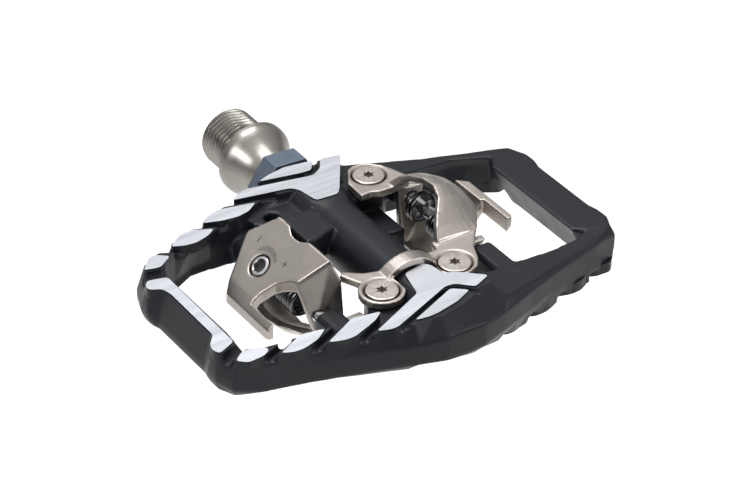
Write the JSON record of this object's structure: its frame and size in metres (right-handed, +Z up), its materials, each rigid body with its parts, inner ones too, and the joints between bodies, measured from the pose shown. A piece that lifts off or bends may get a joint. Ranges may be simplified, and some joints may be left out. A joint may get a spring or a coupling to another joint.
{
  "type": "clipless pedal",
  "caption": "Trail cage pedal with a spring-loaded cleat binding on both faces, turning on a threaded steel spindle with ball bearings.",
  "frame": {"origin": "on the spindle axis, midway along the overall length from the cage's outboard edge to the thread's end", "axes": "+Y along the spindle toward the crank thread, +Z up out of the top binding, +X toward the front claw of the top binding"},
  "size_m": [0.105, 0.0998, 0.0254],
  "materials": {
    "coated_alloy": "satin blue-black coat with machined silver facets",
    "anodised_alloy": "blue-grey anodised",
    "satin_steel": "satin turned steel",
    "claw_steel": "bead-blasted plated steel",
    "bright_steel": "bright steel",
    "spring_steel": "oiled spring steel",
    "rubber": "matt black",
    "resin": "matt dark grey"
  },
  "bodies": {
    "spindle_unit": {"spindle": "satin_steel", "bearing_cone": "bright_steel", "lock_nut": "bright_steel"},
    "pedal": {"pedal_body": "coated_alloy", "lock_bolt": "anodised_alloy", "axle_seal": "rubber", "axle_bush": "resin", "bearing_cup": "bright_steel", "front_claw_top": "claw_steel", "claw_screw_top_1": "claw_steel", "claw_screw_top_2": "claw_steel", "claw_screw_top_3": "claw_steel", "claw_pin_top": "bright_steel", "claw_spring_top_outboard": "spring_steel", "claw_spring_top_inboard": "spring_steel", "front_claw_bottom": "claw_steel", "claw_screw_bottom_1": "claw_steel", "claw_screw_bottom_2": "claw_steel", "claw_screw_bottom_3": "claw_steel", "claw_pin_bottom": "bright_steel", "claw_spring_bottom_outboard": "spring_steel", "claw_spring_bottom_inboard": "spring_steel"},
    "inner_balls": {"ball_ring_inner": "bright_steel"},
    "outer_balls": {"ball_ring_outer": "bright_steel"},
    "claw_top": {"rear_claw_top": "claw_steel"},
    "bolt_top": {"tension_bolt_top": "bright_steel"},
    "nut_top": {"adjuster_nut_top": "bright_steel"},
    "claw_bottom": {"rear_claw_bottom": "claw_steel"},
    "bolt_bottom": {"tension_bolt_bottom": "bright_steel"},
    "nut_bottom": {"adjuster_nut_bottom": "bright_steel"}
  },
  "joints": [
    {"name": "pedal_spin", "type": "hinge", "parent": "spindle_unit", "child": "pedal", "pos_m": [0, 0, 0], "axis": [0, 1, 0], "continuous": true},
    {"name": "inner_balls_roll", "type": "hinge", "parent": "spindle_unit", "child": "inner_balls", "pos_m": [0, -0.0134, 0], "axis": [0, 1, 0], "continuous": true},
    {"name": "outer_balls_roll", "type": "hinge", "parent": "spindle_unit", "child": "outer_balls", "pos_m": [0, -0.03, 0], "axis": [0, 1, 0], "continuous": true},
    {"name": "claw_top_open", "type": "hinge", "parent": "pedal", "child": "claw_top", "pos_m": [-0.0205, 0, -0.001], "axis": [0, -1, 0], "range_deg": [0, 16], "stiffness_Nm_per_rad": 3, "springref_deg": -20.05, "deforming": ["claw_spring_top_outboard", "claw_spring_top_inboard"]},
    {"name": "bolt_top_turn", "type": "hinge", "parent": "claw_top", "child": "bolt_top", "pos_m": [-0.0255, -0.00615, 0.0044], "axis": [-0.63, 0, 0.7766], "range_deg": [-360, 360]},
    {"name": "nut_top_travel", "type": "slide", "parent": "claw_top", "child": "nut_top", "axis": [-0.63, 0, 0.7766], "range_m": [-0.0005, 0.0005]},
    {"name": "claw_bottom_open", "type": "hinge", "parent": "pedal", "child": "claw_bottom", "pos_m": [0.0205, 0, 0.001], "axis": [0, -1, 0], "range_deg": [0, 16], "stiffness_Nm_per_rad": 3, "springref_deg": -20.05, "deforming": ["claw_spring_bottom_outboard", "claw_spring_bottom_inboard"]},
    {"name": "bolt_bottom_turn", "type": "hinge", "parent": "claw_bottom", "child": "bolt_bottom", "pos_m": [0.0255, -0.00615, -0.0044], "axis": [0.63, 0, -0.7766], "range_deg": [-360, 360]},
    {"name": "nut_bottom_travel", "type": "slide", "parent": "claw_bottom", "child": "nut_bottom", "axis": [0.63, 0, -0.7766], "range_m": [-0.0005, 0.0005]}
  ],
  "couplings": [
    {"joint": "inner_balls_roll", "follows": "pedal_spin", "ratio": 0.63},
    {"joint": "outer_balls_roll", "follows": "pedal_spin", "ratio": 0.63},
    {"joint": "bolt_top_turn", "follows": "nut_top_travel", "rad_per_m": -12566},
    {"joint": "bolt_bottom_turn", "follows": "nut_bottom_travel", "rad_per_m": -12566}
  ]
}
